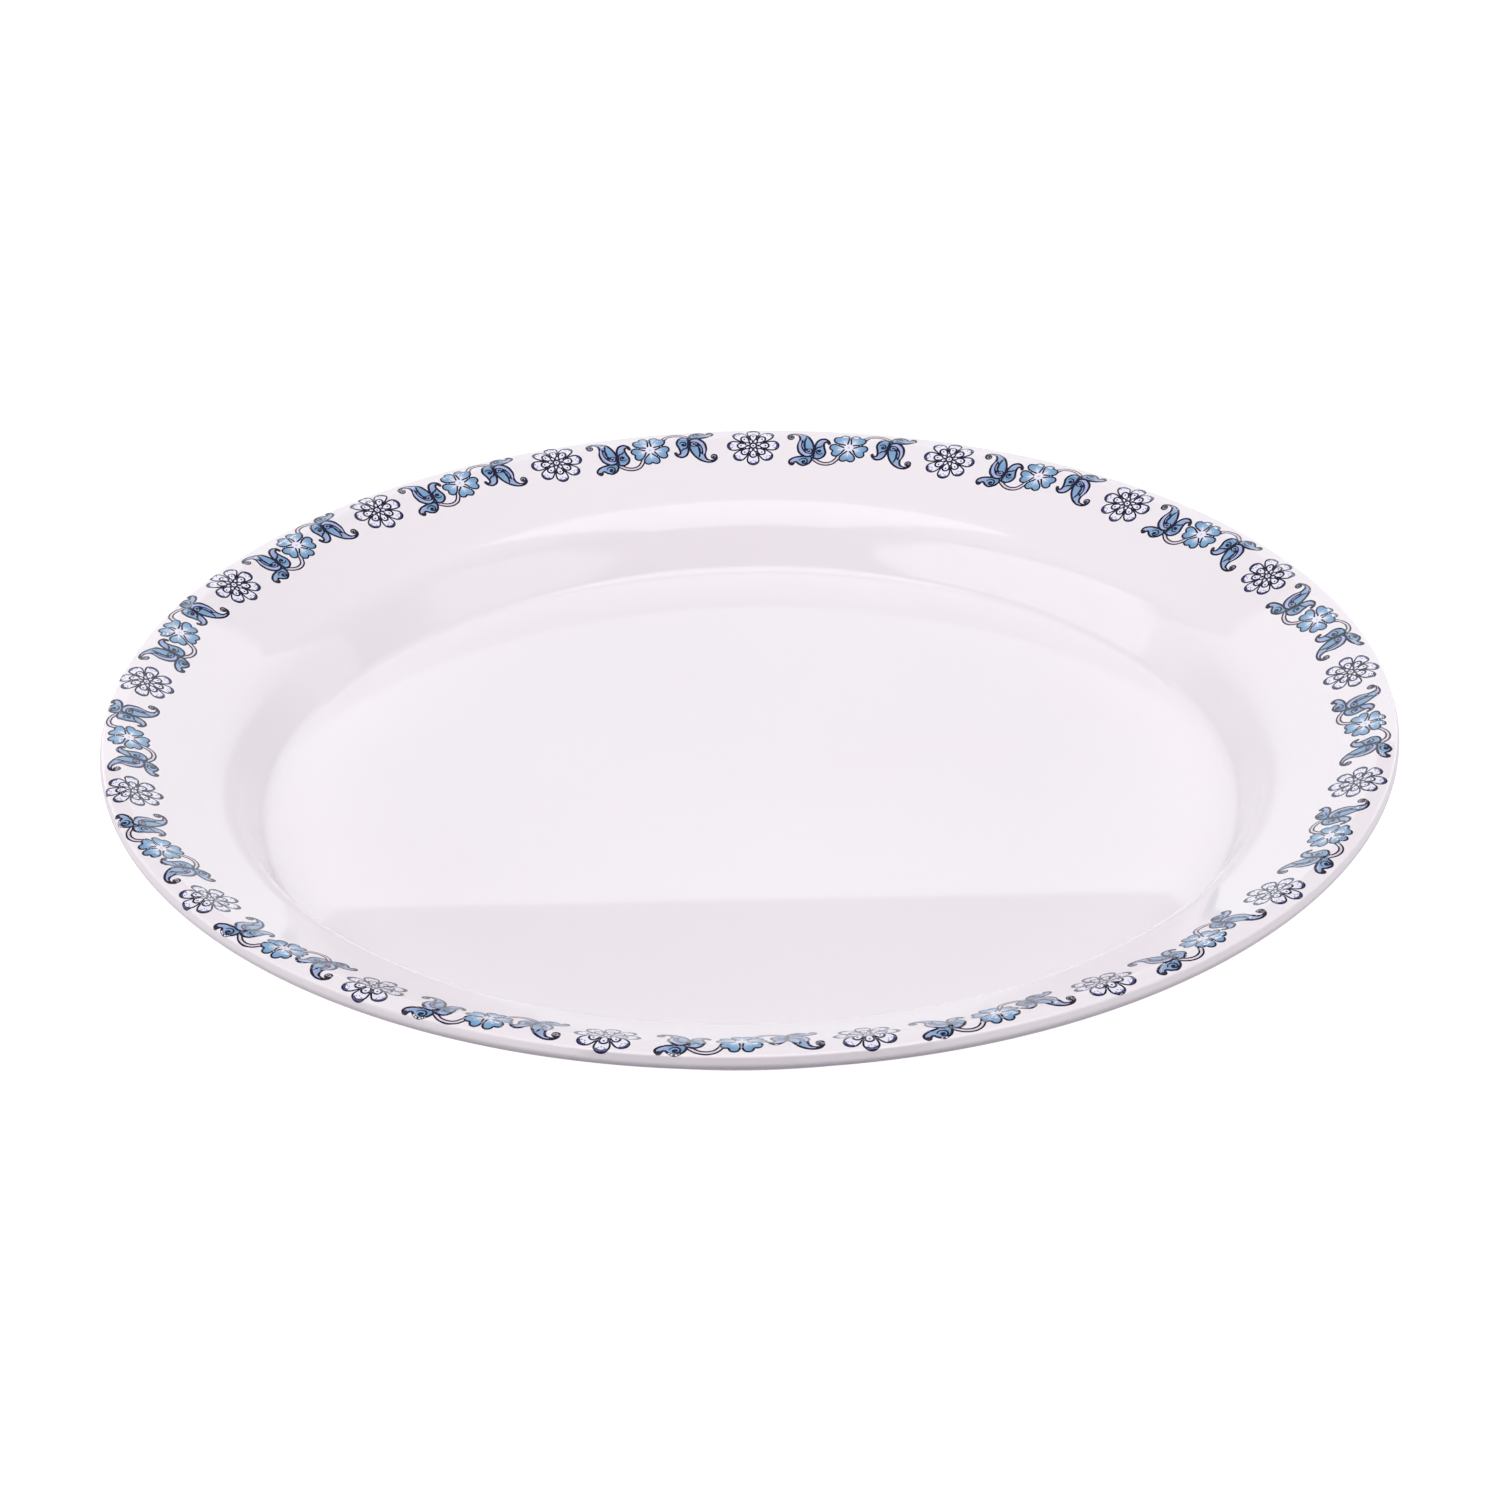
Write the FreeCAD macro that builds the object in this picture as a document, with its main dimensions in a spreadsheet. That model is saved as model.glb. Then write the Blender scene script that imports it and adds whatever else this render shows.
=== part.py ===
import FreeCAD, Part
import math
import os
import Sketcher

# A round china serving platter: a fired body, the glaze over it and the printed border.
# It stands on its foot ring at height 0, with its axis on Z. Millimetres throughout.
#
# The section is a row of bends joined by straight lines that run tangent to them. A bend
# has the distance of its centre from the axis (reach), the height of its centre (level)
# and its radius on the finished surface (bend).

SIZES = [
    ("heel_reach", 114.1, "hollow bend where the floor turns up into the wall"),
    ("heel_level", 9.8, "its centre height"),
    ("heel_bend", 3.0, "its radius"),
    ("shoulder_reach", 133.9, "round bend where the wall leans out into the flange"),
    ("shoulder_level", 10.95, "its centre height"),
    ("shoulder_bend", 14.0, "its radius"),
    ("crest_reach", 148.11, "the flange breaking into the nearly level rim band"),
    ("crest_level", 29.48, "its centre height"),
    ("crest_bend", 2.4, "its radius"),
    ("lip_top_reach", 151.35, "the upper corner of the rim's edge"),
    ("lip_top_level", 30.95, "its centre height"),
    ("lip_top_bend", 0.75, "its radius"),
    ("lip_bottom_reach", 150.8, "the lower corner of the rim's edge"),
    ("lip_bottom_level", 29.62, "its centre height"),
    ("lip_bottom_bend", 1.7, "its radius"),
    ("under_crest_reach", 149.5, "underside of the rim band"),
    ("under_crest_level", 19.9, "its centre height"),
    ("under_crest_bend", 8.0, "its radius"),
    ("under_shoulder_reach", 134.0, "hollow bend under the shoulder"),
    ("under_shoulder_level", 10.9, "its centre height"),
    ("under_shoulder_bend", 10.1, "its radius"),
    ("under_heel_reach", 114.0, "round bend outside the heel"),
    ("under_heel_level", 9.9, "its centre height"),
    ("under_heel_bend", 6.0, "its radius"),
    ("outer_root_reach", 107.7, "hollow bend at the outside of the foot ring"),
    ("outer_root_level", 2.4, "its centre height"),
    ("outer_root_bend", 1.2, "its radius"),
    ("inner_root_reach", 101.3, "hollow bend at the inside of the foot ring"),
    ("inner_root_level", 2.2, "its centre height"),
    ("inner_root_bend", 1.2, "its radius"),
    ("outer_toe_reach", 105.4, "outer corner of the bare foot"),
    ("outer_toe_level", 0.8, "its centre height"),
    ("outer_toe_bend", 0.8, "its radius"),
    ("inner_toe_reach", 103.6, "inner corner of the bare foot"),
    ("inner_toe_level", 0.8, "its centre height"),
    ("inner_toe_bend", 0.8, "its radius"),
    ("foot_outer", 106.5, "glazed outside radius of the foot ring"),
    ("foot_inner", 102.5, "glazed inside radius of the foot ring"),
    ("dry_line", 1.2, "height where the glaze stops short of the table"),
    ("rim_radius", 152.5, "outer radius of the finished rim"),
    ("glaze", 0.3, "thickness of the glaze"),
    ("foot_middle", 104.5, "radius halfway across the foot ring"),
    ("recess_height", 4.8, "height below which the recess glaze is parted from the rest"),
    ("enamel", 0.25, "thickness of the printed enamel"),
    ("print_edge", 151.3, "radius where the print is trimmed, just inside the rim's edge"),
    ("print_ring", 145.0, "radius of the ring on which the border is centred"),
    ("print_count", 17, "repeats of the border"),
    ("print_turn", -1.3, "turn of the border about the axis, degrees"),
    ("spray_turn", -11.888, "turn of the sprays, half a repeat further, degrees"),
    ("print_shift_x", -0.6, "the border sits a little off the plate's own centre"),
    ("print_shift_y", -0.6, "the same, front to back"),
    ("stamp_depth", 40.0, "height of the cutting shapes, more than the platter's"),
    ("rosette_reach", 5.05, "distance of a rosette petal's round end from the middle"),
    ("rosette_petal", 2.1, "radius of a rosette petal's end"),
    ("blossom_reach", 2.9, "distance of a blossom petal's round end from the middle"),
    ("blossom_petal", 2.4, "radius of a blossom petal's end"),
    ("stem_half", 0.5, "half the width of a stem"),
]

# Which way the section turns at each bend, followed outwards over the face and back
# underneath: +1 to the left, where the centre lies in the air, and -1 to the right.
TURN = {
    "heel": 1,
    "shoulder": -1,
    "crest": -1,
    "lip_top": -1,
    "lip_bottom": -1,
    "under_crest": 1,
    "under_shoulder": 1,
    "under_heel": -1,
    "outer_root": 1,
    "outer_toe": -1,
    "inner_toe": -1,
    "inner_root": 1,
}
AXIS = "axis"
FACE = ["heel", "shoulder", "crest", "lip_top", "lip_bottom"]
UNDERSIDE = ["under_crest", "under_shoulder", "under_heel", "outer_root"]
FINISHED = [AXIS, *FACE, *UNDERSIDE, "foot_outer", "foot_inner", "inner_root", AXIS]
BISCUIT = [AXIS, *FACE, *UNDERSIDE, "outer_toe", "inner_toe", "inner_root", AXIS]
GROUND = [AXIS, *FACE, "rim_radius", AXIS]
BARE = ("outer_toe", "inner_toe")

ROSETTE_PETALS = 8
BLOSSOM_PETALS = 5
BLOSSOM_CENTRE = (-1.0, 0.4)
SPRAY_CENTRE = (-0.3, -0.1)

# Half of a spray, as closed outlines of arcs. A point is (along the border clockwise,
# outwards from the print ring), and an arc runs from its first point through its second
# to the next arc's first.
LONG_LEAF = [[(-10.9, -3.1), (-14.9, -0.9)], [(-15.9, 5.2), (-11.7, 2.6)]]
SHORT_LEAF = [[(-8.9, -4.3), (-9.8, 0.2)], [(-6.4, 2.6), (-6.7, -1.6)]]
BUD = [[(-16.4, -6.0), (-13.6, -3.75)], [(-10.0, -4.8), (-12.9, -7.0)]]
STEM_START = (-9.3, -5.1)
STEM_MIDDLE = (-6.2, -6.0)
STEM_END = (-3.7, -4.6)

os.makedirs("parts", exist_ok=True)
doc = FreeCAD.newDocument("Platter")
sheet = doc.addObject("Spreadsheet::Sheet", "Sizes")
for row, (alias, value, meaning) in enumerate(SIZES, 1):
    sheet.set(f"A{row}", alias)
    sheet.set(f"B{row}", str(value))
    sheet.setAlias(f"B{row}", alias)
    sheet.set(f"C{row}", meaning)
doc.recompute()


def size(alias):
    return float(sheet.get(alias))


def origin_plane(body, role):
    return next(part for part in body.Origin.OriginFeatures if part.Role == role)


def new_sketch(body, role):
    sketch = body.newObject("Sketcher::SketchObject", body.Name + "_sketch")
    sketch.AttachmentSupport = [(origin_plane(body, role), "")]
    sketch.MapMode = "FlatFace"
    return sketch


def bind(sketch, index, name, expression):
    """Names a constraint and ties its value to the sheet."""
    sketch.renameConstraint(index, name)
    sketch.setExpression("Constraints." + name, expression)


# ---- sections -------------------------------------------------------------------------


def on_bend(centre, radius, heading):
    """The point of a bend where the outline runs in the given direction."""
    return FreeCAD.Vector(
        centre[0] + radius * math.sin(heading), centre[1] - radius * math.cos(heading), 0
    )


def bend_data(stop, inset):
    """Centre and signed radius of a stop of the outline. A corner has no radius."""
    if stop in TURN:
        depth = 0 if stop in BARE else inset
        centre = (size(stop + "_reach"), size(stop + "_level"))
        return centre, TURN[stop] * size(stop + "_bend") + depth
    return (size(stop), size("dry_line")), 0


def run_headings(bends):
    """Direction of the tangent line between each bend and the next, in radians."""
    headings = []
    for (start, turn_in), (end, turn_out) in zip(bends, bends[1:]):
        across, up = end[0] - start[0], end[1] - start[1]
        lean = math.asin((turn_out - turn_in) / math.hypot(across, up))
        headings.append(math.atan2(up, across) - lean)
    return headings


def arc_between(centre, radius, heading_in, heading_out):
    """The arc of a bend. A sketch arc always runs anticlockwise."""
    circle = Part.Circle(FreeCAD.Vector(*centre, 0), FreeCAD.Vector(0, 0, 1), abs(radius))
    if radius > 0:
        return Part.ArcOfCircle(circle, heading_in - math.pi / 2, heading_out - math.pi / 2)
    return Part.ArcOfCircle(circle, heading_out + math.pi / 2, heading_in + math.pi / 2)


def fix_bend(sketch, arc, stop, change):
    """Ties a bend's centre and radius to the sheet, with the inset added or taken off."""
    radius = sketch.Geometry[arc].Radius
    centre = sketch.Geometry[arc].Center
    sign = "+" if TURN[stop] > 0 else "-"
    term = "" if stop in BARE else f" {sign} ({change})"
    reach = sketch.addConstraint(Sketcher.Constraint("DistanceX", arc, 3, centre.x))
    bind(sketch, reach, stop + "_reach", f"Sizes.{stop}_reach")
    level = sketch.addConstraint(Sketcher.Constraint("DistanceY", arc, 3, centre.y))
    bind(sketch, level, stop + "_level", f"Sizes.{stop}_level")
    bend = sketch.addConstraint(Sketcher.Constraint("Radius", arc, radius))
    bind(sketch, bend, stop + "_bend", f"Sizes.{stop}_bend{term}")


def fix_corner(sketch, line, stop):
    point = sketch.Geometry[line].StartPoint
    reach = sketch.addConstraint(Sketcher.Constraint("DistanceX", line, 1, point.x))
    bind(sketch, reach, stop + "_corner", "Sizes." + stop)
    level = sketch.addConstraint(Sketcher.Constraint("DistanceY", line, 1, point.y))
    bind(sketch, level, stop + "_level", "Sizes.dry_line")


def turned_body(name, stops, inset=0.0, change="0"):
    """A body turned from the outline, drawn inset below the finished surface."""
    body = doc.addObject("PartDesign::Body", name)
    sketch = new_sketch(body, "XZ_Plane")
    inner = [bend_data(stop, inset) for stop in stops[1:-1]]
    top = (0, inner[0][0][1] - inner[0][1])
    bottom = (0, inner[-1][0][1] + inner[-1][1])
    bends = [(top, 0), *inner, (bottom, 0)]
    headings = run_headings(bends)
    lines = []
    for heading, start, end in zip(headings, bends, bends[1:]):
        run = Part.LineSegment(on_bend(*start, heading), on_bend(*end, heading))
        lines.append(sketch.addGeometry(run))
    sketch.addConstraint(Sketcher.Constraint("Horizontal", lines[0]))
    sketch.addConstraint(Sketcher.Constraint("PointOnObject", lines[0], 1, -2))
    sketch.addConstraint(Sketcher.Constraint("Horizontal", lines[-1]))
    sketch.addConstraint(Sketcher.Constraint("PointOnObject", lines[-1], 2, -2))
    for index, stop in enumerate(stops[1:-1]):
        before, after = lines[index], lines[index + 1]
        if stop not in TURN:
            sketch.addConstraint(Sketcher.Constraint("Coincident", before, 2, after, 1))
            fix_corner(sketch, after, stop)
            continue
        turn = headings[index], headings[index + 1]
        arc = sketch.addGeometry(arc_between(*inner[index], *turn))
        entry, leave = (1, 2) if TURN[stop] > 0 else (2, 1)
        sketch.addConstraint(Sketcher.Constraint("Tangent", before, 2, arc, entry))
        sketch.addConstraint(Sketcher.Constraint("Tangent", after, 1, arc, leave))
        fix_bend(sketch, arc, stop, change)
    ends = FreeCAD.Vector(*bottom, 0), FreeCAD.Vector(*top, 0)
    spine = sketch.addGeometry(Part.LineSegment(*ends))
    sketch.addConstraint(Sketcher.Constraint("Coincident", lines[-1], 2, spine, 1))
    sketch.addConstraint(Sketcher.Constraint("Coincident", spine, 2, lines[0], 1))
    turned = body.newObject("PartDesign::Revolution", name + "_turned")
    turned.Profile = sketch
    turned.ReferenceAxis = (sketch, ["V_Axis"])
    turned.Angle = 360
    return body


def boolean(kind, name, base, tool):
    result = doc.addObject("Part::" + kind, name)
    result.Base = base
    result.Tool = tool
    return result


def cylinder(name, radius, height):
    drum = doc.addObject("Part::Cylinder", name)
    drum.setExpression("Radius", radius)
    drum.setExpression("Height", height)
    return drum


# The fired body and the glaze that covers all of it but the foot's face.
ware = turned_body("ware", FINISHED)
porcelain = turned_body("porcelain_body", BISCUIT, size("glaze"), "Sizes.glaze")
all_glaze = boolean("Cut", "all_glaze", ware, porcelain)
foot_well = cylinder("foot_well", "Sizes.foot_middle", "Sizes.recess_height")
recess_glaze = boolean("Common", "foot_recess_glaze", all_glaze, foot_well)
outer_glaze = boolean("Cut", "glaze_coat", all_glaze, foot_well)

# A skin of enamel over the whole face, from which the printed shapes are cut.
ground = turned_body("ground", GROUND)
raised = turned_body("raised_ground", GROUND, -size("enamel"), "-Sizes.enamel")
full_skin = boolean("Cut", "full_skin", raised, ground)
trim = cylinder("print_trim", "Sizes.print_edge", "Sizes.stamp_depth")
enamel_skin = boolean("Common", "enamel_skin", full_skin, trim)


# ---- printed border -------------------------------------------------------------------


def on_ring(point):
    """A border point in plan: the first repeat is centred on +Y."""
    along, outward = point
    ring = size("print_ring")
    angle = along / ring
    radius = ring + outward
    return FreeCAD.Vector(radius * math.sin(angle), radius * math.cos(angle), 0)


def polar(centre, distance, degrees):
    angle = math.radians(degrees)
    return centre[0] + distance * math.cos(angle), centre[1] + distance * math.sin(angle)


def opposite(point):
    """The same point of the other half of a spray, half a turn about its middle."""
    return 2 * SPRAY_CENTRE[0] - point[0], 2 * SPRAY_CENTRE[1] - point[1]


def closed_arcs(points):
    """Arcs through a closed outline of (start, through) points."""
    starts = [on_ring(start) for start, _ in points]
    middles = [on_ring(middle) for _, middle in points]
    ends = starts[1:] + starts[:1]
    return [Part.Arc(*three) for three in zip(starts, middles, ends)]


def scallops(centre, petals, reach, radius, first):
    """A flower's outline: the round ends of its petals, meeting in notches."""
    half = 180 / petals
    inward = reach * math.cos(math.radians(half))
    sideways = reach * math.sin(math.radians(half))
    notch = inward + math.sqrt(radius**2 - sideways**2)
    points = []
    for petal in range(petals):
        middle = first + petal * 2 * half
        points.append((polar(centre, notch, middle - half), polar(centre, reach + radius, middle)))
    return closed_arcs(points)


def mirrored_halves(points):
    """A leaf or bud of the leading half and its twin in the trailing half."""
    twin = [[opposite(start), opposite(middle)] for start, middle in points]
    return closed_arcs(points) + closed_arcs(twin)


def stem_outline(points):
    """A bent strip: two arcs side by side, closed by straight ends."""
    inner, outer = [], []
    for along, outward in points:
        inner.append(on_ring((along, outward + size("stem_half"))))
        outer.append(on_ring((along, outward - size("stem_half"))))
    ends = Part.LineSegment(inner[0], outer[0]), Part.LineSegment(inner[2], outer[2])
    return [Part.Arc(*inner), Part.Arc(*outer), *ends]


def printed(name, curves, turn):
    """The repeats of one printed shape: a ring of stamps cut out of the enamel skin."""
    stamp = doc.addObject("PartDesign::Body", name + "_stamp")
    stamp.AllowCompound = True
    sketch = new_sketch(stamp, "XY_Plane")
    for curve in curves:
        edge = sketch.addGeometry(curve)
        sketch.addConstraint(Sketcher.Constraint("Block", edge))
    pad = stamp.newObject("PartDesign::Pad", name + "_pad")
    pad.Profile = sketch
    pad.setExpression("Length", "Sizes.stamp_depth")
    ring = stamp.newObject("PartDesign::PolarPattern", name + "_ring")
    ring.Originals = [pad]
    ring.Axis = (sketch, ["N_Axis"])
    ring.Angle = 360
    ring.setExpression("Occurrences", "Sizes.print_count")
    stamp.Tip = ring
    stamp.setExpression("Placement.Base.x", "Sizes.print_shift_x")
    stamp.setExpression("Placement.Base.y", "Sizes.print_shift_y")
    stamp.Placement.Rotation = FreeCAD.Rotation(FreeCAD.Vector(0, 0, 1), 0)
    stamp.setExpression("Placement.Rotation.Angle", turn)
    return boolean("Common", name, enamel_skin, stamp)


rosette_sizes = size("rosette_reach"), size("rosette_petal")
blossom_sizes = size("blossom_reach"), size("blossom_petal")
stem = [STEM_START, STEM_MIDDLE, STEM_END]
rosette = scallops((0, 0), ROSETTE_PETALS, *rosette_sizes, 0)
blossom = scallops(BLOSSOM_CENTRE, BLOSSOM_PETALS, *blossom_sizes, 270)
stems = stem_outline(stem) + stem_outline([opposite(point) for point in stem])
prints = [
    printed("rosette_prints", rosette, "Sizes.print_turn"),
    printed("blossom_prints", blossom, "Sizes.spray_turn"),
    printed("long_leaf_prints", mirrored_halves(LONG_LEAF), "Sizes.spray_turn"),
    printed("short_leaf_prints", mirrored_halves(SHORT_LEAF), "Sizes.spray_turn"),
    printed("bud_prints", mirrored_halves(BUD), "Sizes.spray_turn"),
    printed("stem_prints", stems, "Sizes.spray_turn"),
]

# ---- checks and export ----------------------------------------------------------------

doc.recompute()
for item in doc.Objects:
    if "Invalid" in item.State or "Error" in item.State:
        raise SystemExit(f"{item.Name} failed to compute: {item.State}")
subparts = [porcelain, outer_glaze, recess_glaze, *prints]
for subpart in subparts:
    if subpart.Shape.isNull() or not subpart.Shape.isValid():
        raise SystemExit(f"{subpart.Label} has no valid shape")
for subpart in subparts:
    subpart.Shape.exportStep(f"parts/{subpart.Label}.step")
    print(subpart.Label, len(subpart.Shape.Solids), "solids", round(subpart.Shape.Volume, 1))
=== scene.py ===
import math

import bpy
from mathutils import Matrix, Vector
from mathutils.geometry import delaunay_2d_cdt


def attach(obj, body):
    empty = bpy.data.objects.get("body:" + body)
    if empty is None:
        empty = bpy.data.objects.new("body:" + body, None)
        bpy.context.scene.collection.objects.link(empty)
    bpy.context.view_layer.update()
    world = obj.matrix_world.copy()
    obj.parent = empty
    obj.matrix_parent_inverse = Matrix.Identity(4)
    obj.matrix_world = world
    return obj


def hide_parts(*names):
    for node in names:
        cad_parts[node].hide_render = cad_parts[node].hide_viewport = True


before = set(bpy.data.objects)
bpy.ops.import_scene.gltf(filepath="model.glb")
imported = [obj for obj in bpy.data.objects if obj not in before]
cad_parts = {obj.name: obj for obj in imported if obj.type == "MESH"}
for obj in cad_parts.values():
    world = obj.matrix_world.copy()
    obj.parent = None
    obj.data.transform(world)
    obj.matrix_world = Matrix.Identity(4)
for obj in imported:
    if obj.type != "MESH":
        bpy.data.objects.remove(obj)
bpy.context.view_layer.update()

MM = 0.001
TAU = 2 * math.pi

# ---- the platter's section, in millimetres ---------------------------------------------
# Each bend: distance of its centre from the axis, height of the centre, radius. A positive
# radius turns left as the section is followed outwards over the face and back underneath.

HEEL = (114.1, 9.8, 3.0)
SHOULDER = (133.9, 10.95, -14.0)
CREST = (148.11, 29.48, -2.4)
LIP_TOP = (151.35, 30.95, -0.75)
LIP_BOTTOM = (150.8, 29.62, -1.7)
UNDER_CREST = (149.5, 19.9, 8.0)
UNDER_SHOULDER = (134.0, 10.9, 10.1)
UNDER_HEEL = (114.0, 9.9, -6.0)
OUTER_ROOT = (107.7, 2.4, 1.2)
SECTION = [
    HEEL, SHOULDER, CREST, LIP_TOP, LIP_BOTTOM,
    UNDER_CREST, UNDER_SHOULDER, UNDER_HEEL, OUTER_ROOT,
]
FOOT_OUTER = 106.5    # glazed outside radius of the foot ring
DRY_LINE = 1.2        # height where the glaze stops short of the table
GLAZE = 0.3           # thickness of the glaze

AROUND = 480          # divisions of the turned glaze
BEND_STEP = math.radians(5.0)     # largest turn between two points of a bend
RUN_STEP = 7.0        # longest straight piece of the section
HIDDEN_STEP = math.radians(12.0)  # the same for the side that lies on the body
HIDDEN_RUN = 30.0
ON_AXIS = 1e-6        # a reach below this is a point on the axis


def section_path(inset, bend_step, run_step):
    """Points (reach, level, heading) along the glazed section, inset below its surface."""
    start = (0.0, HEEL[1] - HEEL[2] - inset, 0.0)
    end = (FOOT_OUTER - inset, DRY_LINE, 0.0)
    stops = [start, *[(reach, level, bend + inset) for reach, level, bend in SECTION], end]
    headings = []
    for (x0, y0, r0), (x1, y1, r1) in zip(stops, stops[1:]):
        lean = math.asin((r1 - r0) / math.hypot(x1 - x0, y1 - y0))
        headings.append((math.atan2(y1 - y0, x1 - x0) - lean) % TAU)
    headings[0] = 0.0  # the floor is level, and rounding could make this a whole turn

    def on_bend(stop, heading):
        reach, level, radius = stop
        across = radius * math.sin(heading)
        return reach + across, level - radius * math.cos(heading), heading

    path = [on_bend(start, 0.0)]
    for index in range(1, len(stops)):
        heading = headings[index - 1]
        last, arrive = path[-1], on_bend(stops[index], heading)
        length = math.hypot(arrive[0] - last[0], arrive[1] - last[1])
        pieces = max(1, math.ceil(length / run_step))
        for piece in range(1, pieces + 1):
            share = piece / pieces
            reach = last[0] + (arrive[0] - last[0]) * share
            level = last[1] + (arrive[1] - last[1]) * share
            path.append((reach, level, heading))
        if index < len(stops) - 1:
            leftward = stops[index][2] > 0
            turn = (headings[index] - heading) % TAU - (0.0 if leftward else TAU)
            pieces = max(1, math.ceil(abs(turn) / bend_step))
            path += [
                on_bend(stops[index], heading + turn * piece / pieces)
                for piece in range(1, pieces + 1)
            ]
    return path


def turned_mesh(name, outline):
    """A closed body of revolution. The outline starts and ends on the axis."""
    verts, faces, rings = [], [], []
    for reach, level in outline:
        if reach < ON_AXIS:
            rings.append([len(verts)])
            verts.append((0.0, 0.0, level * MM))
            continue
        rings.append(range(len(verts), len(verts) + AROUND))
        for step in range(AROUND):
            angle = TAU * step / AROUND
            verts.append((reach * math.cos(angle) * MM, reach * math.sin(angle) * MM, level * MM))
    for lower, upper in zip(rings, rings[1:]):
        for step in range(AROUND):
            after = (step + 1) % AROUND
            if len(lower) == 1:
                faces.append((lower[0], upper[step], upper[after]))
            elif len(upper) == 1:
                faces.append((lower[step], upper[0], lower[after]))
            else:
                faces.append((lower[step], upper[step], upper[after], lower[after]))
    mesh = bpy.data.meshes.new(name)
    mesh.from_pydata(verts, [], faces)
    mesh.validate()
    mesh.update()
    mesh.shade_smooth()
    return mesh


def add_piece(name, mesh, replaced):
    """Adds a piece that stands for a CAD node. The platter is one body, so all ride on it."""
    piece = bpy.data.objects.new(name, mesh)
    bpy.context.scene.collection.objects.link(piece)
    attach(piece, "root")
    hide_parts(replaced)


# ---- materials -------------------------------------------------------------------------


class Nodes:
    """Builds one material's node tree."""

    def __init__(self, name):
        self.material = bpy.data.materials.new(name)
        self.material.use_nodes = True
        self.tree = self.material.node_tree
        self.shader = self.tree.nodes["Principled BSDF"]

    def add(self, kind, inputs=None, **settings):
        node = self.tree.nodes.new(kind)
        for key, value in settings.items():
            setattr(node, key, value)
        for key, value in (inputs or {}).items():
            self.feed(node.inputs[key], value)
        return node

    def feed(self, socket, value):
        if isinstance(value, bpy.types.NodeSocket):
            self.tree.links.new(value, socket)
        else:
            socket.default_value = value

    def set(self, **inputs):
        for key, value in inputs.items():
            self.feed(self.shader.inputs[key.replace("_", " ")], value)

    def noise(self, scale, detail):
        where = self.add("ShaderNodeTexCoord").outputs["Object"]
        inputs = {"Vector": where, "Scale": scale, "Detail": detail}
        return self.add("ShaderNodeTexNoise", inputs).outputs["Fac"]

    def mix(self, share, first, second):
        node = self.add("ShaderNodeMix", data_type="RGBA")
        self.feed(node.inputs[0], share)
        self.feed(node.inputs[6], first)
        self.feed(node.inputs[7], second)
        return node.outputs[2]

    def ramp(self, value, stops):
        node = self.add("ShaderNodeValToRGB", {"Fac": value})
        elements = node.color_ramp.elements
        for index, (position, colour) in enumerate(stops):
            element = elements[index] if index < 2 else elements.new(position)
            element.position = position
            element.color = colour
        return node.outputs["Color"]

    def bump(self, height, strength, distance):
        inputs = {"Height": height, "Strength": strength, "Distance": distance}
        return self.add("ShaderNodeBump", inputs).outputs["Normal"]

    def ripple(self):
        """The faint waves of the fired surface, the same over glaze and print."""
        return self.bump(self.noise(RIPPLE, 1.0), RIPPLE_STRENGTH, RIPPLE_DEPTH)


def linear(red, green, blue):
    """A colour given as ordinary display values from 0 to 255."""

    def channel(value):
        share = value / 255
        return share / 12.92 if share <= 0.04045 else ((share + 0.055) / 1.055) ** 2.4

    return (channel(red), channel(green), channel(blue), 1.0)


# Noise scales are in waves per metre.
GLOSS = 0.03          # roughness of the glaze
GLASS_IOR = 1.5
RIPPLE = 16.0         # waves in the fired surface
RIPPLE_STRENGTH = 0.06
RIPPLE_DEPTH = 0.0004
CLOUD = 9.0           # drift of the ware's tone
GLOSS_GRAIN = 900.0   # unevenness of the glaze's gloss
GRIT = 1500.0         # grain of the bare foot
STAIN = 70.0          # patches of table grime on it
MOTTLE = 700.0        # unevenness of the printed colours
MOTTLE_SHARE = 0.25   # how far it shifts a shaded colour
WARE_PALE = (0.88, 0.85, 0.87, 1.0)
WARE_WARM = (0.87, 0.835, 0.855, 1.0)


def glaze_material():
    """Glossy pinkish lilac-white glaze, slightly uneven in tone and surface."""
    n = Nodes("lilac_white_glaze")
    tone = n.ramp(n.noise(CLOUD, 3.0), [(0.35, WARE_WARM), (0.65, WARE_PALE)])
    limits = {"To Min": GLOSS * 0.8, "To Max": GLOSS * 1.3}
    gloss = n.add("ShaderNodeMapRange", {"Value": n.noise(GLOSS_GRAIN, 1.0), **limits})
    n.set(Base_Color=tone, Roughness=gloss.outputs["Result"], IOR=GLASS_IOR, Normal=n.ripple())
    return n.material


def bisque_material():
    """Bare fired china on the foot ring: matt, gritty, with a little table grime."""
    n = Nodes("bare_china")
    grit = n.noise(GRIT, 4.0)
    clean = n.ramp(grit, [(0.3, linear(214, 205, 198)), (0.7, linear(232, 225, 220))])
    grime = n.ramp(n.noise(STAIN, 3.0), [(0.55, (0, 0, 0, 1)), (0.8, (0.35, 0.35, 0.35, 1))])
    worn = n.mix(grime, clean, linear(170, 158, 150))
    n.set(Base_Color=worn, Roughness=0.75, Normal=n.bump(grit, 0.5, 0.0001))
    return n.material


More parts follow.
